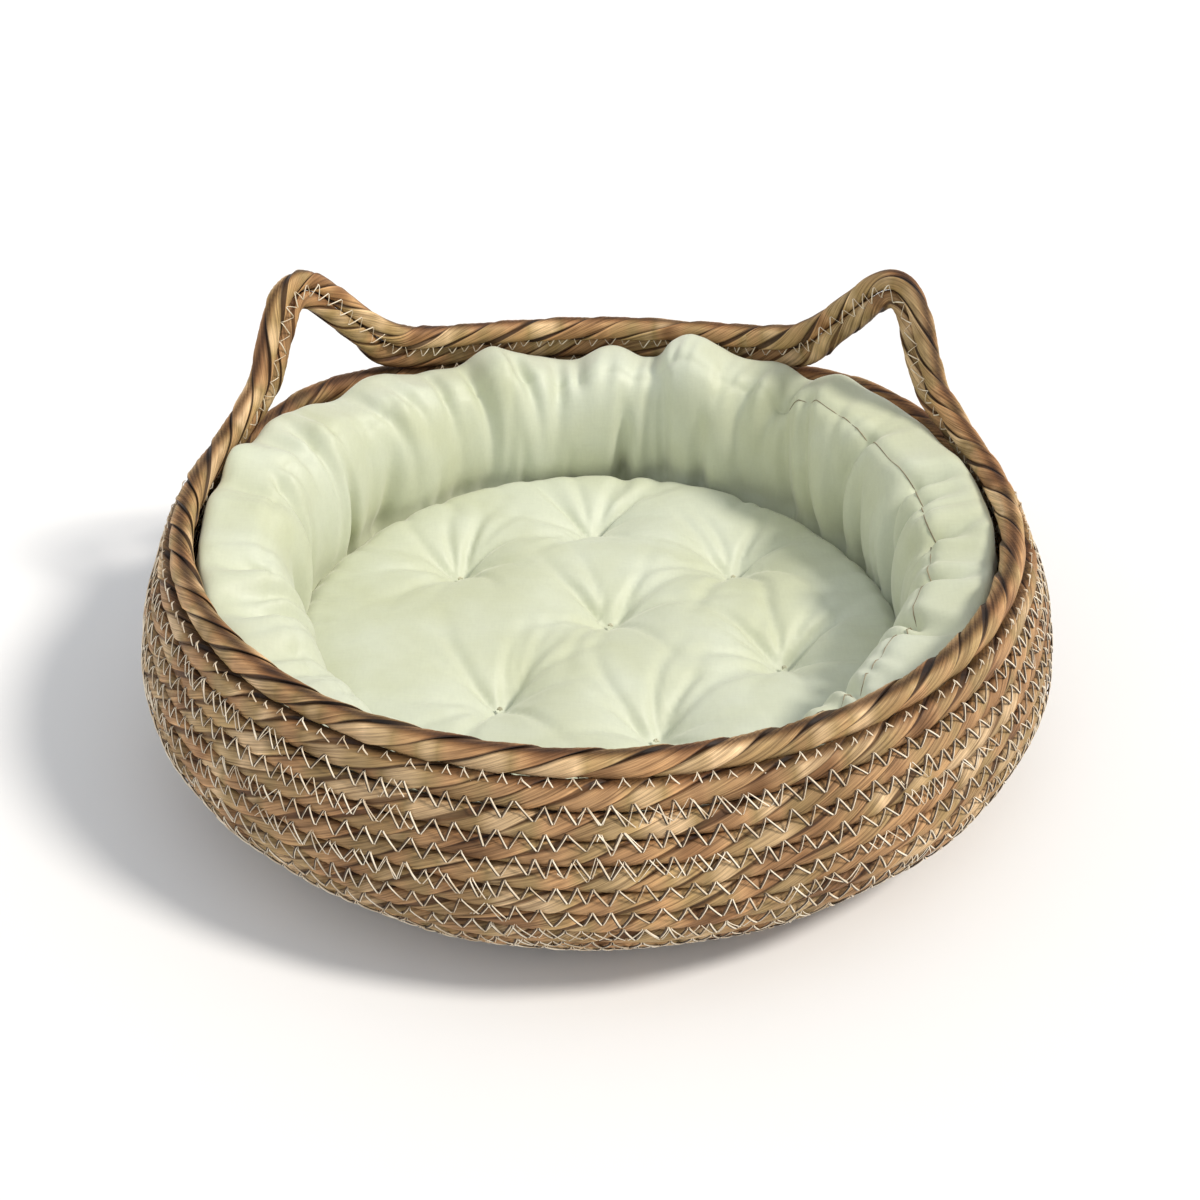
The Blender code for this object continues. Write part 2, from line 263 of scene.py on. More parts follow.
def rim_lines(count=900):
    """Middle points, outward normals and half-heights of the two uppermost ropes, then their joint."""
    line = rim_line()
    a = np.radians(line[:, 0])
    path, _ = spaced_loop(np.stack([RIM_R * np.sin(a), RIM_R * np.cos(a), line[:, 1]], 1), count)
    bearing = np.degrees(np.unwrap(np.arctan2(path[:, 0], path[:, 1])))
    z = softened(path[:, 2], 6)
    x = np.radians(bearing) * RIM_R
    share = ear_share(bearing, z)
    r, _, nr, _ = (np.interp(WALL_LENGTH - PITCH, PROFILE[0], column) for column in PROFILE[1:])
    wall_r = r - ROPE_R * nr
    nx, nz = flat_normals(x, z)
    apart = PITCH * (1 + 1.2 * rise(bearing) / WALL_LENGTH)
    apart = apart + (EAR_PITCH + ROPE_GAP - apart) * share
    under_x, under_z = x - nx * apart, z - nz * apart
    under_r = wall_r + (RIM_R - wall_r) * share
    half = (apart + (EAR_PITCH - apart) * share) / 2
    on_wall_share = 1 - share
    drawn_up = 0.0005 * on_wall_share
    under_x, under_z = under_x + nx * drawn_up, under_z + nz * drawn_up
    lines = []
    ropes = ((x, z, np.full(count, RIM_R), RIM_SLIM), (under_x, under_z, under_r, UNDER_RIM_SLIM))
    for px, pz, pr, slim in ropes:
        a = px / RIM_R
        points = np.stack([pr * np.sin(a), pr * np.cos(a), pz], 1)
        points, half_now = softened(points, 8), softened(half - slim * on_wall_share, 4)
        path, _ = spaced_loop(np.concatenate([points, half_now[:, None]], 1), RIM_SECTIONS)
        lines.append((path[:, :3], unit(path[:, :3] * (1, 1, 0)), path[:, 3]))
    joint_r = (under_r + RIM_R) / 2
    a = (x + under_x) / 2 / RIM_R
    joint = np.stack([joint_r * np.sin(a), joint_r * np.cos(a), (z + under_z) / 2, nx, nz, share, a], 1)
    return lines, joint


# ---------------------------------------------------------------- rope


def rope(name, middle, outward, half_height, seed, look, closed=True, every=1, groove=1.0):
    """A twisted rope of three flat strands, each overlapping the next, along a line of points."""
    rng = np.random.default_rng(seed)
    ahead, behind = np.roll(middle, -1, 0), np.roll(middle, 1, 0)
    if not closed:
        ahead[-1], behind[0] = middle[-1], middle[0]
    tangent = unit(ahead - behind)
    up = unit(np.cross(tangent, outward))
    outward = unit(np.cross(up, tangent))
    steps = np.linalg.norm(np.diff(np.concatenate([middle, middle[:1]]), axis=0), axis=1)
    along = np.concatenate([[0], np.cumsum(steps)[: len(middle) - 1]])
    length = steps.sum() if closed else along[-1]

    across, out = np.array(ACROSS[::every]), 1 - groove * (1 - np.array(OUT[::every]))
    size = len(across)
    turns = round(length / TWIST)
    easing = smooth_noise(rng, length, 0.09)(along)
    turned = 2 * pi * turns * along / length + 0.35 * easing + rng.uniform(0, 2 * pi)
    outline = []
    for strand in range(STRANDS):
        width = smooth_noise(rng, length, 0.05)(along)
        swell = smooth_noise(rng, length, 0.035)(along)
        ridge = smooth_noise(rng, length, 0.02)(along)
        start = 2 * pi * (strand + 0.06 * width) / STRANDS
        for k in range(size):
            t = across[k]
            angle = start + 2 * pi * t / STRANDS
            bump = 0.012 * ridge * np.sin(2 * pi * 2 * t + strand) + 0.02 * swell * np.sin(pi * t)
            outline.append((angle, out[k] + bump))
    section = len(outline)
    angles = np.stack([a for a, _ in outline], 1) + turned[:, None]
    radii = np.stack([b + 0 * along for _, b in outline], 1)
    plump = 1 + 0.03 * smooth_noise(rng, length, 0.08)(along)
    a = (half_height * plump + ROPE_OVERLAP)[:, None]
    b = (ROPE_R * (1 + 0.03 * smooth_noise(rng, length, 0.06)(along)))[:, None]
    c, s = np.cos(angles), np.sin(angles)
    reach = ((np.abs(c) / a) ** SQUARENESS + (np.abs(s) / b) ** SQUARENESS) ** (-1 / SQUARENESS) * radii
    points = middle[:, None] + (reach * c)[..., None] * up[:, None]
    points = points + (reach * s)[..., None] * outward[:, None]

    count = len(middle)
    rows = np.arange(count if closed else count - 1)
    i, j = np.meshgrid(rows, np.arange(section), indexing="ij")
    n, m = (i + 1) % count, (j + 1) % section
    quads = np.stack([i * section + j, n * section + j, n * section + m, i * section + m], -1).reshape(-1, 4)
    u0 = along[i]
    u1 = np.where(n == 0, length, along[n])
    strand = np.floor(j / size)
    t0 = across[j % size]
    t1 = np.where((j + 1) % size == 0, 1.0, across[(j + 1) % size])
    tint = seed * 3.7 + strand * 11.3
    fibre = np.stack(
        [np.stack([u, strand + t, tint], -1) for u, t in ((u0, t0), (u1, t0), (u1, t1), (u0, t1))], -2
    ).reshape(-1, 3)
    # Painted shade: the first value is near 1 where the section faces the turns above and below, and the
    # rope's material darkens there as the shade between touching turns.
    joint_shade_mask = np.stack([np.abs(c), np.abs(s), 0 * c], -1)
    joint_shade_mask = np.stack([joint_shade_mask[i, j], joint_shade_mask[n, j], joint_shade_mask[n, m], joint_shade_mask[i, m]], -2).reshape(-1, 3)
    faces = [quads]
    if not closed:
        first = np.arange(section)[None, :]
        last = (count - 1) * section + np.arange(section)[None, ::-1]
        faces += [first, last]
        fibre = np.concatenate([fibre, np.tile([[0.0, 0.5, 0.0]], (2 * section, 1))])
        joint_shade_mask = np.concatenate([joint_shade_mask, np.tile([[0.0, 1.0, 0.0]], (2 * section, 1))])
    made = new_mesh(name, points.reshape(-1, 3), faces, {"fibre": fibre, "joint_shade_mask": joint_shade_mask}, sharp=38)
    made.data.materials.append(look)
    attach(made, "basket")
    return made


# ---------------------------------------------------------------- thread


class Thread:
    """Gathers many lengths of thread into one mesh."""

    def __init__(self, sides=5):
        self.sides, self.count = sides, 0
        self.points, self.faces = [], []

    def add(self, line, outward, radius, closed=False):
        line, outward = np.asarray(line, float), np.asarray(outward, float)
        ahead, behind = np.roll(line, -1, 0), np.roll(line, 1, 0)
        if not closed:
            ahead[-1], behind[0] = line[-1], line[0]
        tangent = unit(ahead - behind)
        side = unit(np.cross(tangent, outward))
        lift = np.cross(side, tangent)
        turn = 2 * pi * np.arange(self.sides) / self.sides
        radius = np.broadcast_to(np.asarray(radius, float), (len(line),))[:, None, None]
        ring = line[:, None] + radius * (
            np.cos(turn)[None, :, None] * side[:, None] + np.sin(turn)[None, :, None] * lift[:, None]
        )
        n = len(line)
        i, j = np.meshgrid(np.arange(n if closed else n - 1), np.arange(self.sides), indexing="ij")
        k, m = (i + 1) % n, (j + 1) % self.sides
        quads = np.stack([i * self.sides + j, i * self.sides + m, k * self.sides + m, k * self.sides + j], -1)
        self.points.append(ring.reshape(-1, 3))
        self.faces.append(quads.reshape(-1, 4) + self.count)
        self.count += n * self.sides

    def finish(self, name, body, look):
        made = new_mesh(name, np.concatenate(self.points), np.concatenate(self.faces))
        made.data.materials.append(look)
        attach(made, body)
        return made


def zigzag(
    thread,
    at,
    length,
    seed,
    reach=0.0045,
    wave=0.010,
    proud=0.0002,
    thick=0.00034,
    thin=0.00020,
    keep=None,
    aside=0.0,
):
    """A zigzag stitch along a closed joint. at(distance, height) gives points on the joint and their normals,
    keep says which distances are sewn, and aside moves the whole row along the joint."""
    rng = np.random.default_rng(seed)
    waves = round(length / wave)
    gaps = rng.uniform(0.70, 1.30, waves)
    starts = np.cumsum(gaps) / gaps.sum() * length
    legs = []
    for k in range(waves):
        begin = starts[k]
        end = starts[(k + 1) % waves] + (length if k == waves - 1 else 0)
        lean = rng.uniform(0.48, 0.72)
        legs.append((begin, begin + lean * (end - begin), 1, thick * rng.uniform(0.8, 1.1)))
        legs.append((begin + lean * (end - begin), end, -1, thin * rng.uniform(0.6, 1.2)))
    shares = np.array([0.0, 0.10, 0.35, 0.65, 0.90])
    heights, places, lifts, widths = [], [], [], []
    top = rng.uniform(0.65, 1.20, waves)
    low = rng.uniform(0.65, 1.20, waves)
    for index, (begin, end, way, width) in enumerate(legs):
        k = index // 2
        bottom, upper = (low[k], top[k]) if way > 0 else (low[(k + 1) % waves], top[k])
        share = shares if way > 0 else 1 - shares
        heights.append((-bottom + (bottom + upper) * share) * reach)
        places.append(begin + (end - begin) * shares)
        lifts.append(np.where(shares == 0, -0.0011, proud + 0.0003 * np.sin(pi * shares)))
        widths.append(np.full(len(shares), width))
    heights, places = np.concatenate(heights), np.concatenate(places) + aside
    lifts, widths = np.concatenate(lifts), np.concatenate(widths)
    points, normals = at(places % length, heights)
    points = points + normals * lifts[:, None]
    if keep is None:
        thread.add(points, normals, widths, closed=True)
        return
    sewn = keep(places % length)
    edges = np.flatnonzero(np.diff(sewn.astype(int))) + 1
    for run in np.split(np.arange(len(sewn)), edges):
        if sewn[run[0]] and len(run) > 3:
            thread.add(points[run], normals[run], widths[run])


# ---------------------------------------------------------------- materials


def maths(tree, operation, a, b=None):
    made = tree.nodes.new("ShaderNodeMath")
    made.operation = operation
    for i, value in enumerate((a, b)):
        if isinstance(value, (int, float)):
            made.inputs[i].default_value = value
        elif value is not None:
            tree.links.new(value, made.inputs[i])
    return made.outputs[0]


def ramp(tree, factor, stops):
    made = tree.nodes.new("ShaderNodeValToRGB")
    tree.links.new(factor, made.inputs[0])
    while len(made.color_ramp.elements) < len(stops):
        made.color_ramp.elements.new(0.5)
    for element, (place, colour) in zip(made.color_ramp.elements, stops):
        element.position = place
        element.color = (*colour, 1) if len(colour) == 3 else colour
    return made.outputs[0]


def grey(value):
    return (value, value, value)


def scaled(colour, by):
    return tuple(part * by for part in colour)


def noise(tree, vector, scale, detail=2.0, roughness=0.5):
    made = tree.nodes.new("ShaderNodeTexNoise")
    made.inputs["Scale"].default_value = scale
    made.inputs["Detail"].default_value = detail
    made.inputs["Roughness"].default_value = roughness
    tree.links.new(vector, made.inputs["Vector"])
    return made.outputs[0]


def stretched(tree, vector, scales):
    made = tree.nodes.new("ShaderNodeVectorMath")
    made.operation = "MULTIPLY"
    tree.links.new(vector, made.inputs[0])
    made.inputs[1].default_value = scales
    return made.outputs[0]


def mixed(tree, kind, factor, a, b):
    made = tree.nodes.new("ShaderNodeMix")
    made.data_type = "RGBA"
    made.blend_type = kind
    for socket, value in ((made.inputs[0], factor), (made.inputs[6], a), (made.inputs[7], b)):
        if isinstance(value, (int, float)):
            socket.default_value = value
        elif isinstance(value, tuple):
            socket.default_value = (*value, 1)
        else:
            tree.links.new(value, socket)
    return made.outputs[2]


def bump(tree, height, strength, distance, onto=None):
    made = tree.nodes.new("ShaderNodeBump")
    made.inputs["Strength"].default_value = strength
    made.inputs["Distance"].default_value = distance
    tree.links.new(height, made.inputs["Height"])
    if onto is not None:
        tree.links.new(onto, made.inputs["Normal"])
    return made.outputs[0]


def new_material(name):
    made = bpy.data.materials.new(name)
    made.use_nodes = True
    tree = made.node_tree
    return made, tree, tree.nodes["Principled BSDF"]


def rope_look(name, tucked_edge_shade, gain):
    """Dried water-plant leaf: tan to grey-green strands with long fibres, with painted shade at their tucked
    edges, a painted highlight along their raised edges and painted shade where each turn meets the next.
    """
    made, tree, shader = new_material(name)
    fibre = tree.nodes.new("ShaderNodeAttribute")
    fibre.attribute_name = "fibre"
    place = tree.nodes.new("ShaderNodeTexCoord").outputs["Object"]
    parts = tree.nodes.new("ShaderNodeSeparateXYZ")
    tree.links.new(fibre.outputs["Vector"], parts.inputs[0])
    across = maths(tree, "FRACT", parts.outputs[1])

    leaf = noise(tree, stretched(tree, fibre.outputs["Vector"], (21, 0.0, 1.0)), 1.0, 2.0, 0.6)
    base = ramp(tree, leaf, (
        (0.26, (0.110, 0.050, 0.018)),
        (0.37, (0.250, 0.130, 0.056)),
        (0.45, (0.400, 0.235, 0.112)),
        (0.52, (0.300, 0.205, 0.090)),
        (0.60, (0.560, 0.400, 0.235)),
        (0.72, (0.400, 0.270, 0.140)),
    ))
    patch = noise(tree, place, 16.0, 3.0, 0.6)
    base = mixed(tree, "MULTIPLY", 1.0, base, ramp(tree, patch, (
        (0.32, scaled((0.76, 0.72, 0.66), gain)),
        (0.50, grey(gain)),
        (0.68, scaled((1.22, 1.20, 1.16), gain)),
    )))
    streaks = noise(tree, stretched(tree, fibre.outputs["Vector"], (24, 11.0, 1.0)), 1.0, 5.0, 0.65)
    base = mixed(tree, "MULTIPLY", 1.0, base, ramp(tree, streaks, (
        (0.30, (0.33, 0.27, 0.21)), (0.46, (0.96, 0.95, 0.93)), (0.64, (1.42, 1.40, 1.35)),
    )))
    fine = noise(tree, stretched(tree, fibre.outputs["Vector"], (70, 60.0, 1.0)), 1.0, 3.0, 0.6)
    base = mixed(tree, "MULTIPLY", 1.0, base, ramp(tree, fine, (
        (0.30, (0.68, 0.65, 0.62)), (0.55, (1.08, 1.08, 1.08)),
    )))
    # Painted shade and highlight: each strand darkens at its edge tucked under the next strand and where its
    # raised edge drops away, and is painted lighter along the raised edge.
    dark = scaled((1.0, 0.80, 0.62), tucked_edge_shade)
    edge = ramp(tree, across, (
        (0.0, dark), (0.05, dark), (0.14, grey(0.92)), (0.84, grey(1.0)), (0.93, grey(1.20)), (0.975, dark),
    ))
    base = mixed(tree, "MULTIPLY", 1.0, base, edge)
    # Painted shade where the rope faces the next turns, darkest in the joints between them.
    joint_shade_mask = tree.nodes.new("ShaderNodeAttribute")
    joint_shade_mask.attribute_name = "joint_shade_mask"
    pressed = tree.nodes.new("ShaderNodeSeparateXYZ")
    tree.links.new(joint_shade_mask.outputs["Vector"], pressed.inputs[0])
    base = mixed(tree, "MULTIPLY", 1.0, base, ramp(tree, pressed.outputs[0], (
        (0.72, grey(1.0)), (0.90, (0.60, 0.52, 0.44)), (1.0, (0.16, 0.11, 0.07)),
    )))
    tree.links.new(base, shader.inputs["Base Color"])

    tree.links.new(ramp(tree, streaks, ((0.35, grey(0.72)), (0.65, grey(0.50)))), shader.inputs["Roughness"])
    shader.inputs["Specular IOR Level"].default_value = 0.32
    ridges = bump(tree, streaks, 0.55, 0.0007)
    shader_normal = bump(tree, fine, 0.35, 0.0003, ridges)
    tree.links.new(shader_normal, shader.inputs["Normal"])
    return made


def thread_look(name, dark, light):
    """Polyester sewing thread, its tone changing along it. Also used, near black, for the painted shadow
    lines beside the wall's stitches.
    """
    made, tree, shader = new_material(name)
    place = tree.nodes.new("ShaderNodeTexCoord").outputs["Object"]
    tone = noise(tree, place, 90.0, 2.0)
    tree.links.new(ramp(tree, tone, ((0.35, dark), (0.6, light))), shader.inputs["Base Color"])
    shader.inputs["Roughness"].default_value = 0.5
    ply = noise(tree, place, 2500.0, 1.0)
    tree.links.new(bump(tree, ply, 0.4, 0.0001), shader.inputs["Normal"])
    return made


def cloth_look(name, colour, shade):
    """Brushed microfibre, ivory with a little green: a fine weave, a soft sheen and faint uneven tone."""
    made, tree, shader = new_material(name)
    place = tree.nodes.new("ShaderNodeTexCoord").outputs["Object"]
    tone = noise(tree, place, 14.0, 3.0, 0.55)
    base = ramp(tree, tone, ((0.35, shade), (0.62, colour)))
    threads = noise(tree, stretched(tree, place, (900.0, 160.0, 160.0)), 1.0, 2.0)
    crossing = noise(tree, stretched(tree, place, (160.0, 900.0, 900.0)), 1.0, 2.0)
    weave = maths(tree, "ADD", threads, crossing)
    base = mixed(tree, "MULTIPLY", 1.0, base, ramp(tree, maths(tree, "MULTIPLY", weave, 0.5), (
        (0.35, grey(0.955)), (0.60, grey(1.0)),
    )))
    tree.links.new(base, shader.inputs["Base Color"])
    shader.inputs["Roughness"].default_value = 0.52
    shader.inputs["Specular IOR Level"].default_value = 0.40
    shader.inputs["Sheen Weight"].default_value = 0.35
    shader.inputs["Sheen Roughness"].default_value = 0.45
    shader.inputs["Sheen Tint"].default_value = (1.0, 0.98, 0.90, 1.0)
    rumple = noise(tree, place, 55.0, 4.0, 0.55)
    soft = bump(tree, rumple, 0.30, 0.0016)
    tree.links.new(bump(tree, weave, 0.25, 0.00012, soft), shader.inputs["Normal"])
    return made


# The second number sets how dark the painted shade at the strands' edges is; the third brightens the whole
# rope.
RIM_LOOK = rope_look("rope_leaf_rim", 0.14, 1.14)
WALL_LOOK = rope_look("rope_leaf_wall", 0.30, 1.0)
THREAD_LOOK = thread_look("cream_thread", (0.60, 0.48, 0.33), (0.90, 0.80, 0.63))
# Near black, for the painted shadow lines beside the stitches.
STITCH_SHADOW_LOOK = thread_look("painted_stitch_shadow", (0.030, 0.016, 0.008), (0.075, 0.042, 0.020))
SEAM_LOOK = thread_look("seam_thread", (0.16, 0.12, 0.07), (0.30, 0.24, 0.15))
COVER_LOOK = cloth_look("ivory_cover", (0.588, 0.622, 0.492), (0.530, 0.556, 0.388))
KNOT_LOOK = thread_look("ivory_thread", (0.40, 0.39, 0.27), (0.58, 0.57, 0.42))


# ---------------------------------------------------------------- basket


def wall_ropes():
    """The wall's turns, each a closed rope."""
    for number in range(1, COURSES + 1):
        along = (number - 0.5) * PITCH
        count = int(2 * pi * (np.interp(along, PROFILE[0], PROFILE[1])) / STEP)
        bearing = -360 * np.arange(count)[::-1] / count
        middle, outward = on_wall(bearing, np.full(count, along), ROPE_R)
        above, _ = on_wall(bearing, np.full(count, number * PITCH), ROPE_R)
        under, _ = on_wall(bearing, np.full(count, (number - 1) * PITCH), ROPE_R)
        half = np.linalg.norm(above - under, axis=1) / 2
        made = rope(f"rope_turn_{number:02d}", middle, outward, half, number, WALL_LOOK, groove=0.62)
        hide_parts(f"wall_course_{number:02d}")


def rim_ropes():
    """The two uppermost ropes, which leave the wall to form the ears."""
    parts = ("front", "back", "ear_left", "ear_right")
    lines, joint = rim_lines()
    for seed, (name, prefix, (middle, outward, half)) in enumerate(
        zip(("rope_rim", "rope_under_rim"), ("rim_rope", "under_rim_rope"), lines)
    ):
        look = RIM_LOOK if seed == 0 else WALL_LOOK
        made = rope(name, middle, outward, half, 40 + seed, look, groove=1.0 - 0.2 * seed)
        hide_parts(*(f"{prefix}_{part}" for part in parts))
    rim_stitching(joint)


def rim_stitching(joint):
    """Zigzag stitches between the two uppermost ropes, over the ears too, seen from both sides."""
    steps = np.linalg.norm(np.diff(np.concatenate([joint, joint[:1]])[:, :3], axis=0), axis=1)
    lengths = np.concatenate([[0], np.cumsum(steps)])
    closed = np.concatenate([joint, joint[:1]])
    closed[-1, 6] += 2 * pi * np.sign(joint[-1, 6] - joint[0, 6])
    thread = Thread()
    for side in (1, -1):

        def at(distance, height):
            x, y, z, nx, nz, _, a = (np.interp(distance, lengths, column) for column in closed.T)
            across = np.stack([nx * np.cos(a), -nx * np.sin(a), nz], -1)
            outward = side * np.stack([np.sin(a), np.cos(a), 0 * a], -1)
            return np.stack([x, y, z], -1) + across * height[:, None] + outward * ROPE_R, outward

        zigzag(thread, at, lengths[-1], seed=90 + side, reach=0.0042, wave=0.0092)
    thread.finish("stitches_rim", "basket", THREAD_LOOK)


def base_spiral():
    """The coil's first turns, lying flat. Its tail thins out beside the first turn of the wall."""
    turns = (BASE_R - PITCH / 2 - COIL_START_R) / PITCH
    angle = np.linspace(0, 1, 20000) ** 0.5 * 2 * pi * turns
    r = COIL_START_R + PITCH * angle / (2 * pi)
    tail = np.linspace(0, 1, 800)[1:]
    narrow = PITCH / 2 * (1 - 0.85 * tail)
    half = np.concatenate([np.full_like(r, PITCH / 2), narrow])
    r, angle = np.concatenate([r, BASE_R - narrow]), np.concatenate([angle, angle[-1] + 2 * pi * tail])
    path = np.stack([r * np.sin(angle), r * np.cos(angle), np.full_like(r, ROPE_R)], 1)
    lengths = np.concatenate([[0], np.cumsum(np.linalg.norm(np.diff(path, axis=0), axis=1))])
    want = np.linspace(0, lengths[-1], int(lengths[-1] / BASE_STEP))
    middle = np.stack([np.interp(want, lengths, path[:, k]) for k in range(3)], 1)
    outward = np.tile([0.0, 0.0, -1.0], (len(middle), 1))
    half = np.interp(want, lengths, half)
    made = rope("rope_base", middle, outward, half, 60, WALL_LOOK, closed=False, every=2)
    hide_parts("base_coil")

    thread = Thread(4)
    for way in (1, -1):

        def at(distance, height, way=way):
            turned = np.interp(distance, lengths, angle)
            out = np.minimum(COIL_START_R + PITCH * (turned / (2 * pi) + 0.5), BASE_R) + height
            points = np.stack([out * np.sin(turned), out * np.cos(turned), ROPE_R * (1 + way) + 0 * out], -1)
            return points, np.tile([0.0, 0.0, float(way)], (len(out), 1))

        zigzag(thread, at, lengths[-1], seed=300 + way, keep=lambda distance: distance > 0.04)
    thread.finish("stitches_base", "basket", THREAD_LOOK)


def wall_stitching():
    """Zigzag stitches that sew each turn to the next, outside and inside, with a dark line of painted shadow
    beside each outer stitch.
    """
    joints = list(range(1, COURSES + 1))
    # Painted shadow: the outer zigzag again, thicker, sunk into the leaf and moved a little along the joint,
    # so that a dark edge shows beside each stitch.
    groove = {"proud": -0.00008, "thick": 0.00046, "thin": 0.00040, "aside": 0.00065}
    resewing = {"reach": 0.0050, "wave": 0.0125, "thick": 0.00024}
    groups = (("stitches_low", joints[:5]), ("stitches_middle", joints[5:9]), ("stitches_high", joints[9:]))
    inner, stitch_shadow_lines = Thread(4), Thread(3)
    for name, numbers in groups:
        thread = Thread()
        for number in numbers:
            along = number * PITCH
            r = np.interp(along, PROFILE[0], PROFILE[1])
            length = 2 * pi * r

            def at(distance, height, along=along, r=r, inward=0.0):
                return on_wall(np.degrees(distance / r), along + height, np.full_like(distance, inward))

            def at_inside(distance, height, at=at):
                points, normals = at(distance, height, inward=2 * ROPE_R)
                return points, -normals

            keep = None
            if number == COURSES:

                def keep(distance, r=r):
                    back = abs((np.degrees(distance / r) + 180) % 360 - 180)
                    return (back < EAR_FOOT_BACK + 1.5) | (back > EAR_FOOT_FRONT - 3)

            zigzag(thread, at, length, seed=100 + number, keep=keep)
            zigzag(inner, at_inside, length, seed=200 + number, keep=keep)
            # Painted shadow line beside this joint's outer stitches.
            zigzag(stitch_shadow_lines, at, length, seed=100 + number, keep=keep, **groove)
            again = smooth_noise(np.random.default_rng(400 + number), length, 0.12)

            def resewn(distance, again=again, keep=keep):
                return (again(distance) > 0.45) & (keep is None or keep(distance))

            zigzag(thread, at, length, seed=500 + number, keep=resewn, **resewing)
        thread.finish(name, "basket", THREAD_LOOK)
    inner.finish("stitches_inside", "basket", THREAD_LOOK)
    stitch_shadow_lines.finish("painted_stitch_shadows", "basket", STITCH_SHADOW_LOOK)


# ---------------------------------------------------------------- cushion


def tuft_places():
    """Where each tuft is sewn, from the ties' own solids."""
    places = []
    for number in range(1, TUFT_COUNT + 1):
        low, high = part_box(f"tuft_tie_{number}")
        places.append(((low.x + high.x) / 2, (low.y + high.y) / 2))
    return np.array(places)


TUFTS = tuft_places()


def round_lattice(radius, spacing):
    """Points and triangles of an even lattice that fills a circle."""
    rings = round(radius / spacing)
    points, start = [(0.0, 0.0)], [0]
    for i in range(1, rings + 1):
        start.append(len(points))
        turn = 2 * pi * np.arange(6 * i) / (6 * i)
        r = radius * i / rings
        points += list(zip(r * np.sin(turn), r * np.cos(turn)))
    faces = []
    for i in range(rings):
        for side in range(6):
            for k in range(i + 1):
                inner = start[i] + (side * i + k) % max(6 * i, 1)
                outer = start[i + 1] + (side * (i + 1) + k) % (6 * (i + 1))
                after = start[i + 1] + (side * (i + 1) + k + 1) % (6 * (i + 1))
                faces.append((inner, after, outer))
                if k < i:
                    faces.append((inner, start[i] + (side * i + k + 1) % (6 * i), after))
    return np.array(points), faces, start[-1]


def settle(piece, pins, rest, frames, pressure, limit):
    """Simulates a piece as cloth, cut as rest and held at its pins. Gives the points that result."""
    start = np.array([v.co for v in piece.data.vertices])
    group = piece.vertex_groups.new(name="pins")
    group.add([int(i) for i in pins], 1.0, "REPLACE")
    piece.shape_key_add(name="Basis")
    cut = piece.shape_key_add(name="cut")
    cut.data.foreach_set("co", np.asarray(rest, np.float32).ravel())
    cloth = piece.modifiers.new("Cloth", "CLOTH")
    settings = cloth.settings
    settings.rest_shape_key = cut
    settings.vertex_group_mass = "pins"
    settings.quality = 6
    settings.mass = 0.3
    settings.air_damping = 3.0
    settings.tension_stiffness = settings.compression_stiffness = 22
    settings.shear_stiffness = 8
    settings.bending_stiffness = 0.3
    settings.use_pressure = True
    settings.uniform_pressure_force = pressure
    settings.effector_weights.gravity = 0
    cloth.collision_settings.use_collision = False
    cloth.point_cache.frame_start, cloth.point_cache.frame_end = 1, frames
    scene = bpy.context.scene
    for number in range(1, frames + 1):
        scene.frame_set(number)
    result = piece.evaluated_get(bpy.context.evaluated_depsgraph_get()).data
    moved = np.array([v.co for v in result.vertices])
    piece.modifiers.remove(cloth)
    piece.shape_key_clear()
    piece.vertex_groups.clear()
    scene.frame_set(1)
    shift = moved - start
    size = np.linalg.norm(shift, axis=1, keepdims=True)
    return start + shift * np.minimum(1, limit / np.maximum(size, 1e-9))


def rewrite(piece, points):
    piece.data.vertices.foreach_set("co", np.asarray(points, np.float32).ravel())
    piece.data.update()


def subdivided(piece, levels=1):
    modifier = piece.modifiers.new("Smooth", "SUBSURF")
    modifier.levels = modifier.render_levels = levels
    bpy.context.view_layer.objects.active = piece
    with bpy.context.temp_override(object=piece, active_object=piece):
        bpy.ops.object.modifier_apply(modifier=modifier.name)
    piece.data.shade_smooth()


def pad_height(x, y):
    """The pad's top before it is filled: a low dome, pinched down and creased at each tuft."""
    rng = np.random.default_rng(21)
    r = np.hypot(x, y)
    z = PAD_EDGE_Z + (PAD_CROWN_Z - PAD_EDGE_Z) * (1 - (r / PAD_R) ** 2)
    z = z + 0.005 * np.clip(y / PAD_R, 0, 1) ** 2
    for tx, ty in TUFTS:
        d = np.hypot(x - tx, y - ty)
        bearing = np.arctan2(y - ty, x - tx)
        z = z - 0.0085 * bell(d, 0.024) - 0.0125 * np.exp(-d / 0.0085)
        turns = list(2 * pi * (np.arange(7) + rng.uniform(-0.3, 0.3, 7)) / 7)
        fan = rng.uniform(0.55, 0.95)
        turns += [fan, fan + 0.20, fan + 0.41, fan + 0.60, fan + 1.7, fan + 1.88, fan + 3.3, fan + 3.52]
        for turn in turns:
            reach = rng.uniform(0.030, 0.058)
            bend = rng.uniform(-9.0, 4.0)
            depth = rng.uniform(0.0022, 0.0046)
            off = wrapped(bearing - turn - bend * d)
            width = 0.0015 + 0.045 * d
            fade = bell(d, reach) * (1 - bell(d, 0.006))
            z = z - depth * fade * bell(off * d, width) * (abs(off) < 1.2)
    edge = np.arctan2(y, x)
    for _ in range(30):
        turn, depth, reach = rng.uniform(-pi, pi), rng.uniform(0.0008, 0.0022), rng.uniform(0.012, 0.035)
        z = z - depth * bell(wrapped(edge - turn) * r, 0.0035) * bell(PAD_R - r, reach)
    return z - 0.007 * np.clip((r - PAD_R + 0.004) / 0.010, 0, 1) ** 2


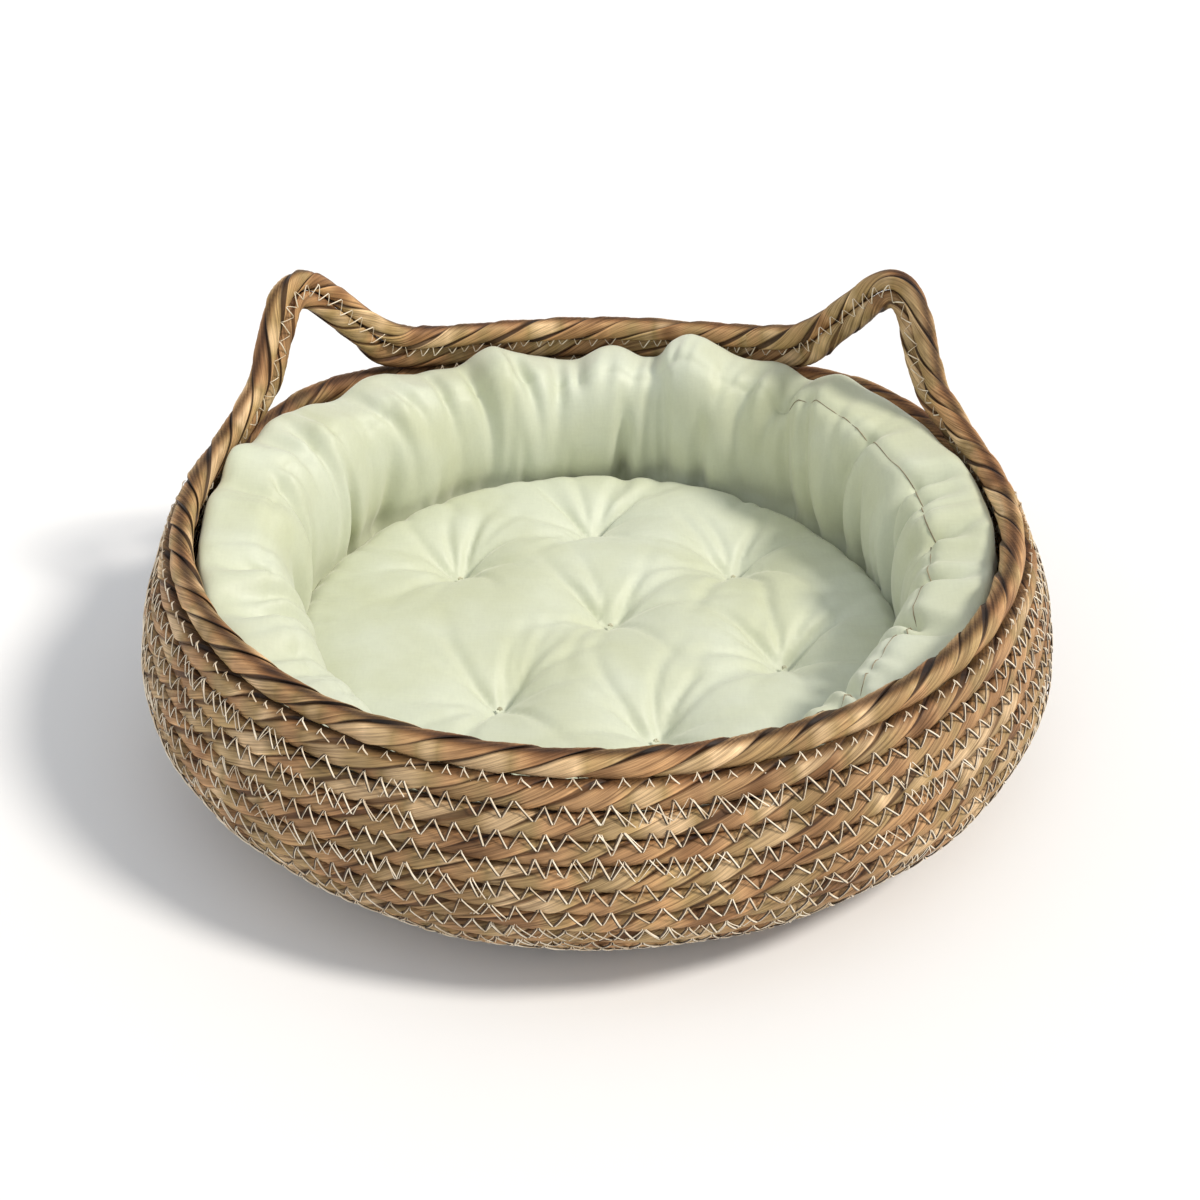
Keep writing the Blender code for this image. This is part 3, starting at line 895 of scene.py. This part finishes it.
def pad():
    """The tufted pad: its top is simulated cloth, cut larger than the space it fills."""
    flat, faces, edge = round_lattice(PAD_R + PAD_TUCK, PAD_SPACING)
    x, y = flat[:, 0], flat[:, 1]
    top = np.stack([x, y, pad_height(x, y)], 1)
    made = new_mesh("pad", top, [faces])
    near = np.min([np.hypot(x - tx, y - ty) for tx, ty in TUFTS], axis=0)
    pins = np.concatenate([np.flatnonzero(near < 0.0026), np.arange(edge, len(flat))])
    rewrite(made, settle(made, pins, top * (1.018, 1.018, 1.0), frames=18, pressure=1.8, limit=0.006))
    close_pad(made, edge, len(flat))
    subdivided(made)
    finish_soft(made, "pad_top_cover", "pad_fill", "pad_bottom_cover", fill=0.55)


def close_pad(made, edge, count):
    """Adds the pad's side and underside below its simulated top."""
    points = np.array([v.co for v in made.data.vertices])
    faces = [tuple(p.vertices) for p in made.data.polygons]
    rim = points[edge:count]
    size = len(rim)
    rows = [np.arange(edge, count)]
    side = ((1.0, 0.040), (1.0, 0.026), (0.985, 0.016))
    shares = (*side, *((share, PAD_BOTTOM_Z) for share in (0.94, 0.75, 0.4)))
    extra = []
    for number, (share, z) in enumerate(shares):
        ring = rim * (share, share, 0)
        ring[:, 2] = z
        extra.append(ring)
        rows.append(count + number * size + np.arange(size))
    for outer, inner in zip(rows, rows[1:]):
        for k in range(size):
            m = (k + 1) % size
            faces.append((outer[k], outer[m], inner[m], inner[k]))
    middle = count + len(shares) * size
    faces += [(rows[-1][k], rows[-1][(k + 1) % size], middle) for k in range(size)]
    points = np.concatenate([points, *extra, [[0.0, 0.0, PAD_BOTTOM_Z]]])
    mesh = bpy.data.meshes.new("pad")
    mesh.from_pydata([tuple(map(float, p)) for p in points], [], [tuple(map(int, f)) for f in faces])
    mesh.update()
    made.data = mesh


def finish_soft(made, *nodes, fill):
    """Gives a cushion piece the cover's look, puts it in the cushion's body and hides the CAD nodes it stands
    for.
    """
    made.data.materials.clear()
    made.data.materials.append(COVER_LOOK)
    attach(made, "cushion")
    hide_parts(*nodes)


BOLSTER_BEARINGS = 380
BOLSTER_SECTION = 60
LOW_SEAM, CREST_SEAM, OUTER_SEAM = 12, 26, 50  # rows round the section, from the bottom up the inner side
JOIN_BEARING = 11.0  # where the ring's two ends are sewn together
SEAM_BEARINGS = 38, 152  # where the crest seam's thread is loose enough to show
# The inner folds: how many, least and greatest depth, least and greatest width, and whether they are fine
FOLDS = ((50, 0.0055, 0.0125, 0.0032, 0.0062, False), (92, 0.0018, 0.0038, 0.0020, 0.0034, True))
OUTER_FOLDS = 64


def rounded(value, power):
    """A sine or cosine bent so that the section comes out squarer."""
    return np.sign(value) * np.abs(value) ** power


def gathers(a, k):
    """How deep the cover is drawn in by its folds and seams, at a bearing and a row of the section."""
    rng = np.random.default_rng(31)
    depth = np.zeros_like(a)
    share = (k - LOW_SEAM) / (CREST_SEAM - LOW_SEAM)
    beyond = np.clip(share - 1.1, 0, None)
    above_seam, below_crest, past_crest = (
        np.clip(value, 0, None) for value in (share + 0.05, 1.05 - share, share - 1.0)
    )
    for count, low, high, narrow, wide, fine in FOLDS:
        for number in range(count):
            bearing = 2 * pi * (number + rng.uniform(-0.42, 0.42)) / count
            size, width = rng.uniform(low, high), rng.uniform(narrow, wide)
            slant = rng.uniform(-0.075, 0.075)
            sway = rng.uniform(0, 2 * pi)
            kind = rng.choice(3, p=(0.5, 0.25, 0.25))
            line = bearing + slant * share + 0.012 * np.sin(2.2 * share + sway)
            reach = rng.uniform(0.35, 0.75) * (0.45 if fine else 1)
            if kind == 0:
                fade = bell(below_crest, reach) * bell(beyond, 0.35)
            elif kind == 1:
                fade = bell(above_seam, reach)
            else:
                fade = bell(past_crest, 0.3) * (0.5 if fine else 1)
            fade = np.where(share < -0.2, fade * bell(share + 0.2, 0.3), fade)
            depth += size * fade * bell(wrapped(a - line) * BOLSTER_R, width)
    on_back = np.clip((k - CREST_SEAM - 6) / 8, 0, 1)
    for number in range(OUTER_FOLDS):
        bearing = 2 * pi * (number + rng.uniform(-0.4, 0.4)) / OUTER_FOLDS
        size, width = rng.uniform(0.0015, 0.0048), rng.uniform(0.0030, 0.0075)
        slant, end = rng.uniform(-0.05, 0.05), rng.choice((OUTER_SEAM, CREST_SEAM + 18))
        off = wrapped(a - bearing - slant * (k - OUTER_SEAM) / 20) * BOLSTER_R
        depth += size * on_back * bell(k - end, rng.uniform(6, 12)) * bell(off, width)
    depth += 0.0042 * bell(wrapped(a - radians(JOIN_BEARING)) * BOLSTER_R, 0.0030)
    depth += 0.0016 * bell(k - OUTER_SEAM, 0.9)
    depth += 0.0011 * bell(k - CREST_SEAM, 0.9)
    outside = (k > CREST_SEAM + 8) | (k < 3)
    return np.where(outside, 0.5 * depth, depth)


def inside_wall(points, margin=0.0012):
    """Points pressed back where they would pass into the wall."""
    inner_r = PROFILE[1] - 2 * ROPE_R * PROFILE[3]
    inner_z = PROFILE[2] - 2 * ROPE_R * PROFILE[4]
    r = np.hypot(points[:, 0], points[:, 1])
    lift = rise(np.degrees(np.arctan2(points[:, 0], points[:, 1])))
    z = points[:, 2] * RIM_Z / (RIM_Z + lift)
    under_rim = np.where(z > RIM_Z - 0.012, RIM_R - ROPE_R, 1.0)
    limit = np.minimum(np.interp(z, inner_z, inner_r), under_rim) - margin
    share = np.minimum(1, limit / r)[:, None]
    return points * np.concatenate([share, share, np.ones_like(share)], 1)


def bolster_form(a, k):
    """The bolster's radius and height at a bearing and a row of its section, before its cover settles."""
    turn = 2 * pi * k / BOLSTER_SECTION - 0.5 * pi
    rng = np.random.default_rng(41)
    swell = smooth_noise(rng, 2 * pi * BOLSTER_R, 0.062)(a * BOLSTER_R)
    crest = smooth_noise(rng, 2 * pi * BOLSTER_R, 0.030)(a * BOLSTER_R)
    crest = crest * (1 - 0.75 * bell(a - radians(80), 0.65))
    behind = np.cos(a)
    top = BOLSTER_TOP_Z + BOLSTER_TILT * behind + 0.0027 * crest * (1 + behind) + 0.007 * (1 - behind**2)
    top = top - 0.019 * np.clip(-behind, 0, 1) ** 2
    half = (top - BOLSTER_BOTTOM_Z) / 2

    inner, outer = np.clip(np.cos(turn), 0, 1), np.clip(-np.cos(turn), 0, 1)
    upper = np.clip(np.sin(turn), 0, 1)
    shoulder = outer * upper**0.5
    depth = gathers(a, k) - 0.0022 * swell * inner
    across = BOLSTER_HALF_WIDTH + 0.0015 - depth
    r = BOLSTER_R - across * rounded(np.cos(turn), np.where(turn > 0.5 * pi, 0.45, 0.75))
    r = r + 0.005 * shoulder
    level = rounded(np.sin(turn), np.where(turn > 0.5 * pi, 0.50, 0.75))
    z = BOLSTER_BOTTOM_Z + half + (half - depth * upper) * level
    z = z + 0.0075 * shoulder * (1 - behind**2)
    lean = bell(wrapped(a - radians(272)), 0.75)
    r = r - 0.004 * lean * inner**2
    r = r + (0.0045 + 0.0045 * np.clip(behind, 0, 1)) * bell(k - LOW_SEAM, 2.4)
    return r, z


def bolster():
    """The padded ring round the pad: simulated cloth, gathered along the crest seam and the pad seam."""
    i, k = np.meshgrid(np.arange(BOLSTER_BEARINGS), np.arange(BOLSTER_SECTION), indexing="ij")
    a = 2 * pi * i / BOLSTER_BEARINGS
    r, z = bolster_form(a, k)
    points = np.stack([r * np.sin(a), r * np.cos(a), z], -1).reshape(-1, 3)
    n, m = (i + 1) % BOLSTER_BEARINGS, (k + 1) % BOLSTER_SECTION
    rows = BOLSTER_SECTION
    faces = np.stack([i * rows + k, i * rows + m, n * rows + m, n * rows + k], -1).reshape(-1, 4)
    made = new_mesh("bolster", points, faces)
    row, column = k.reshape(-1), i.reshape(-1)
    held = (row == LOW_SEAM) | (row == OUTER_SEAM) | (row == CREST_SEAM) & (column % 4 == 0)
    cut = points * (1.02, 1.02, 1.01)
    points = settle(made, np.flatnonzero(held), cut, frames=14, pressure=1.3, limit=0.005)
    points = inside_wall(points)
    rewrite(made, points)
    crest_stitching(points.reshape(BOLSTER_BEARINGS, BOLSTER_SECTION, 3))
    subdivided(made)
    finish_soft(made, "bolster_fill", "bolster_inner_cover", "bolster_outer_cover", fill=0.7)


def crest_stitching(grid):
    """The sewn line along the inner side of the bolster's crest."""
    line = grid[:, CREST_SEAM]
    over = grid[:, CREST_SEAM + 1] - grid[:, CREST_SEAM - 1]
    ahead = np.roll(line, -1, 0) - np.roll(line, 1, 0)
    outward = unit(np.cross(over, ahead))
    outward *= np.sign(outward[:, 2:3] + 1e-9)
    shown = slice(*(round(BOLSTER_BEARINGS * bearing / 360) for bearing in SEAM_BEARINGS))
    line, outward = line[shown], outward[shown]
    thread = Thread(4)
    thread.add(line + outward * 0.00015, outward, 0.00028)
    thread.finish("stitches_bolster", "cushion", SEAM_LOOK)


def tuft_ties():
    """The knotted threads that draw the pad down, one in each tuft."""
    thread = Thread()
    rng = np.random.default_rng(51)
    for number, (x, y) in enumerate(TUFTS, 1):
        _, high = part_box(f"tuft_tie_{number}")
        turn = np.linspace(0, 2 * pi, 13)[:-1]
        for lean in (0.0, 1.1, 2.2):
            way = rng.uniform(0, pi) + lean
            flat = KNOT_LENGTH * np.cos(turn)
            side = KNOT_WIDTH * np.sin(turn)
            points = np.stack([
                x + flat * cos(way) - side * sin(way),
                y + flat * sin(way) + side * cos(way),
                high.z - 0.0002 + 0.0007 * np.sin(turn) ** 2 + 0.0002 * lean + 0 * turn,
            ], 1)
            thread.add(points, np.tile([0.0, 0.0, 1.0], (12, 1)), KNOT_THREAD, closed=True)
    made = thread.finish("tuft_knots", "cushion", KNOT_LOOK)
    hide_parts(*(f"tuft_tie_{number}" for number in range(1, TUFT_COUNT + 1)))


wall_ropes()
rim_ropes()
base_spiral()
wall_stitching()
pad()
bolster()
tuft_ties()


# ---------------------------------------------------------------- floor, light and camera


def floor(flat=14.0, bend=10.0, sides=128):
    """A plain floor that curves up far away into a backdrop."""
    turn = np.radians(np.linspace(0, 76, 40))
    profile = [(flat * share, 0.0) for share in (0.02, 0.1, 0.3, 0.6)]
    profile += list(zip(flat + bend * np.sin(turn), bend * (1 - np.cos(turn))))
    around = 2 * pi * np.arange(sides) / sides
    points = [(0.0, 0.0, 0.0)] + [(r * cos(a), r * sin(a), z) for r, z in profile for a in around]
    k = np.arange(sides)
    after = (k + 1) % sides
    middle = np.stack([0 * k, 1 + k, 1 + after], -1)
    starts = 1 + sides * np.arange(len(profile))
    rings = [np.stack([n + k, m + k, m + after, n + after], -1) for n, m in zip(starts, starts[1:])]
    made = new_mesh("floor", points, [middle, np.concatenate(rings)])
    look, tree, shader = new_material("pale_floor")
    place = tree.nodes.new("ShaderNodeTexCoord").outputs["Object"]
    tone = ramp(tree, noise(tree, place, 3.0), ((0.3, grey(0.80)), (0.7, grey(0.82))))
    tree.links.new(tone, shader.inputs["Base Color"])
    shader.inputs["Roughness"].default_value = 0.9
    made.data.materials.append(look)
    made.location.z = -0.0004


def lamp(name, place, angle, energy, colour):
    """A broad, even light that shines from a place towards the bed."""
    data = bpy.data.lights.new(name, "SUN")
    data.angle = radians(angle)
    data.energy, data.color = energy, colour
    made = bpy.data.objects.new(name, data)
    bpy.context.scene.collection.objects.link(made)
    made.location = place
    made.rotation_euler = (-Vector(place)).to_track_quat("-Z", "Y").to_euler()


def studio():
    """Soft light all round, a warm sun from the right and a weak one from the front."""
    world = bpy.data.worlds.new("studio")
    bpy.context.scene.world = world
    world.use_nodes = True
    back = world.node_tree.nodes["Background"]
    back.inputs[0].default_value = (0.93, 0.96, 1.0, 1)
    back.inputs[1].default_value = 0.66
    lamp("key", (1.15, -0.35, 1.32), 12, 2.75, (1.0, 0.94, 0.86))
    lamp("fill", (-0.6, -1.6, 0.85), 50, 0.50, (0.94, 0.97, 1.0))
    bpy.context.scene.view_settings.view_transform = "Standard"


def camera():
    """The photo's view: a 54 mm lens, looking 32 degrees down."""
    data = bpy.data.cameras.new("camera")
    data.lens, data.sensor_width = 54.0, 36.0
    data.shift_x, data.shift_y = 0.0026, 0.0058
    made = bpy.data.objects.new("camera", data)
    bpy.context.scene.collection.objects.link(made)
    made.location = (0.0, -0.7734, 0.5452)
    made.rotation_euler = (radians(57.9), 0, 0)
    bpy.context.scene.camera = made


floor()
studio()
camera()


def corners(box):
    return [[float(value) for value in corner] for corner in box]
